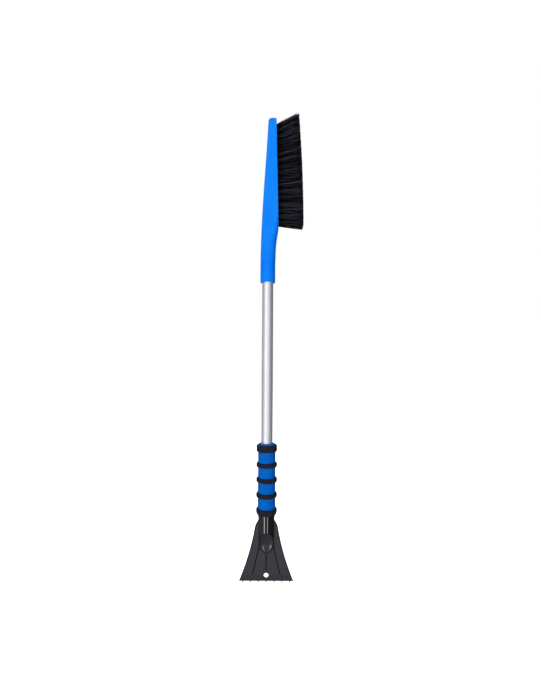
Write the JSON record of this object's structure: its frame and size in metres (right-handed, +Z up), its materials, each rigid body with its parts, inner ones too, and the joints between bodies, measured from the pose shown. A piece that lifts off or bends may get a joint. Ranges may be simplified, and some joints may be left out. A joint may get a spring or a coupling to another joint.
{
  "type": "snow brush with ice scraper",
  "caption": "Long-handled snow brush with a flared windshield ice scraper, a foam grip with raised rings, a round aluminium tube and a tapered side-bristle brush head.",
  "frame": {"origin": "centre of the hang hole in the scraper blade, midway through the blade's thickness", "axes": "+Z up the handle from the blade to the brush, +X the way the bristles point, +Y out of the blade's flat back"},
  "size_m": [0.1248, 0.0402, 0.9381],
  "materials": {
    "blue_plastic": "moulded polypropylene, satin",
    "bristle": "fine synthetic filament",
    "plated_steel": "zinc plated",
    "aluminium": "drawn and satin anodised",
    "blue_foam": "closed-cell foam, matte",
    "black_foam": "closed-cell foam, matte",
    "black_plastic": "moulded, glossy with fine-grained panels"
  },
  "bodies": {
    "root": {"brush_head": "blue_plastic", "bristle_row_front": "bristle", "bristle_row_mid_front": "bristle", "bristle_row_mid_back": "bristle", "bristle_row_back": "bristle", "tuft_anchors": "plated_steel", "handle_tube": "aluminium", "brush_head_screw": "plated_steel", "scraper_head_screw": "plated_steel", "grip_sleeve": "blue_foam", "grip_top_band": "black_foam", "grip_ring_upper": "black_foam", "grip_ring_middle": "black_foam", "grip_ring_lower": "black_foam", "grip_bottom_collar": "black_foam", "scraper_head": "black_plastic"}
  },
  "joints": []
}
